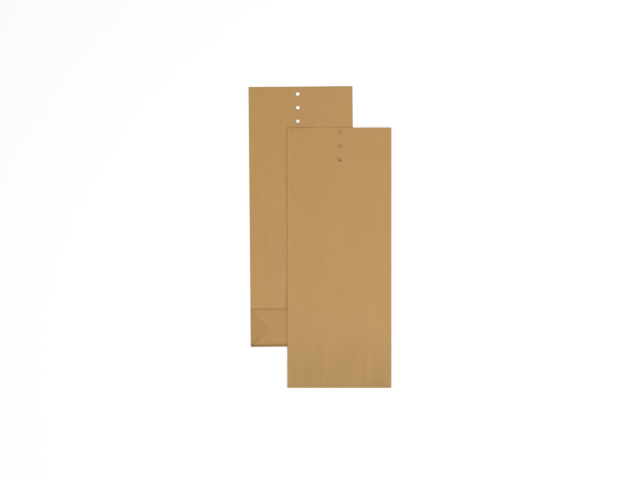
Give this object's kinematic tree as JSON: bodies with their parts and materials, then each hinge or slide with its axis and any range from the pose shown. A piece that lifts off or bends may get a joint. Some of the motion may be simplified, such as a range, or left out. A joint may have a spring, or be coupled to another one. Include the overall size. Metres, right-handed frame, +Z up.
{
  "type": "clasp envelope",
  "caption": "Pair of brown kraft sample envelopes with side gussets, a folded block bottom and holes for a clasp at the mouth, lying flat one on the other.",
  "frame": {"origin": "on the table, under the middle of the box that holds both envelopes", "axes": "+X to the right across the envelopes, +Y along them towards their mouths, +Z up from the table"},
  "size_m": [0.1648, 0.348, 0.0042],
  "materials": {
    "kraft_paper": "matt brown kraft"
  },
  "bodies": {
    "under_body": {"under_front_panel": "kraft_paper", "under_back_panel": "kraft_paper", "under_left_gusset_front_half": "kraft_paper", "under_left_gusset_back_half": "kraft_paper", "under_right_gusset_front_half": "kraft_paper", "under_right_gusset_back_half": "kraft_paper", "under_seam_lap": "kraft_paper", "under_heel_panel": "kraft_paper", "under_bottom_left_tuck": "kraft_paper", "under_bottom_right_tuck": "kraft_paper", "under_bottom_upper_flap": "kraft_paper", "under_bottom_lower_flap": "kraft_paper"},
    "under_lower_strip": {"under_mouth_lower_strip_front_panel": "kraft_paper", "under_mouth_lower_strip_back_panel": "kraft_paper", "under_mouth_lower_strip_left_gusset_front_half": "kraft_paper", "under_mouth_lower_strip_left_gusset_back_half": "kraft_paper", "under_mouth_lower_strip_right_gusset_front_half": "kraft_paper", "under_mouth_lower_strip_right_gusset_back_half": "kraft_paper", "under_mouth_lower_strip_seam_lap": "kraft_paper"},
    "under_upper_strip": {"under_mouth_upper_strip_front_panel": "kraft_paper", "under_mouth_upper_strip_back_panel": "kraft_paper", "under_mouth_upper_strip_left_gusset_front_half": "kraft_paper", "under_mouth_upper_strip_left_gusset_back_half": "kraft_paper", "under_mouth_upper_strip_right_gusset_front_half": "kraft_paper", "under_mouth_upper_strip_right_gusset_back_half": "kraft_paper", "under_mouth_upper_strip_seam_lap": "kraft_paper"},
    "over_back": {"over_back_panel": "kraft_paper", "over_seam_lap": "kraft_paper"},
    "over_right_inner_gusset": {"over_right_gusset_back_half": "kraft_paper"},
    "over_right_outer_gusset": {"over_right_gusset_front_half": "kraft_paper"},
    "over_front": {"over_front_panel": "kraft_paper"},
    "over_left_inner_gusset": {"over_left_gusset_back_half": "kraft_paper"},
    "over_left_outer_gusset": {"over_left_gusset_front_half": "kraft_paper"},
    "over_heel": {"over_heel_panel": "kraft_paper"},
    "over_bottom": {"over_bottom_left_tuck": "kraft_paper", "over_bottom_right_tuck": "kraft_paper", "over_bottom_upper_flap": "kraft_paper", "over_bottom_lower_flap": "kraft_paper"}
  },
  "joints": [
    {"name": "under_lower_mouth_crease", "type": "hinge", "parent": "under_body", "child": "under_lower_strip", "pos_m": [-0.02213, 0.14144, 0.00232], "axis": [1, 0.0087, 0], "range_deg": [0, 115]},
    {"name": "under_upper_mouth_crease", "type": "hinge", "parent": "under_lower_strip", "child": "under_upper_strip", "pos_m": [-0.02227, 0.15771, 0.0015], "axis": [1, 0.0087, 0], "range_deg": [0, 180]},
    {"name": "over_lift", "type": "slide", "parent": "under_body", "child": "over_back", "axis": [0, 0, 1], "range_m": [0, 0.12]},
    {"name": "over_open", "type": "hinge", "parent": "over_back", "child": "over_right_inner_gusset", "pos_m": [0.0824, -0.02401, 0.00309], "axis": [0, 1, 0], "range_deg": [0, 90]},
    {"name": "over_right_gusset_crease", "type": "hinge", "parent": "over_right_inner_gusset", "child": "over_right_outer_gusset", "pos_m": [0.0609, -0.02401, 0.00348], "axis": [0, -1, 0], "range_deg": [0, 180]},
    {"name": "over_right_front_edge", "type": "hinge", "parent": "over_right_outer_gusset", "child": "over_front", "pos_m": [0.0824, -0.02401, 0.00388], "axis": [0, 1, 0], "range_deg": [0, 90]},
    {"name": "over_left_back_edge", "type": "hinge", "parent": "over_back", "child": "over_left_inner_gusset", "pos_m": [-0.0376, -0.02401, 0.00309], "axis": [0, -1, 0], "range_deg": [0, 90]},
    {"name": "over_left_gusset_crease", "type": "hinge", "parent": "over_left_inner_gusset", "child": "over_left_outer_gusset", "pos_m": [-0.0161, -0.02401, 0.00348], "axis": [0, 1, 0], "range_deg": [0, 180]},
    {"name": "over_heel_crease", "type": "hinge", "parent": "over_back", "child": "over_heel", "pos_m": [0.0224, -0.15251, 0.00268], "axis": [-1, 0, 0], "range_deg": [0, 180]},
    {"name": "over_bottom_crease", "type": "hinge", "parent": "over_heel", "child": "over_bottom", "pos_m": [0.0224, -0.13101, 0.00229], "axis": [1, 0, 0], "range_deg": [0, 90]}
  ],
  "couplings": [
    {"joint": "over_right_gusset_crease", "follows": "over_open", "ratio": 2},
    {"joint": "over_right_front_edge", "follows": "over_open", "ratio": 1},
    {"joint": "over_left_back_edge", "follows": "over_open", "ratio": 1},
    {"joint": "over_left_gusset_crease", "follows": "over_open", "ratio": 2},
    {"joint": "over_heel_crease", "follows": "over_open", "ratio": 2},
    {"joint": "over_bottom_crease", "follows": "over_open", "ratio": 1}
  ]
}
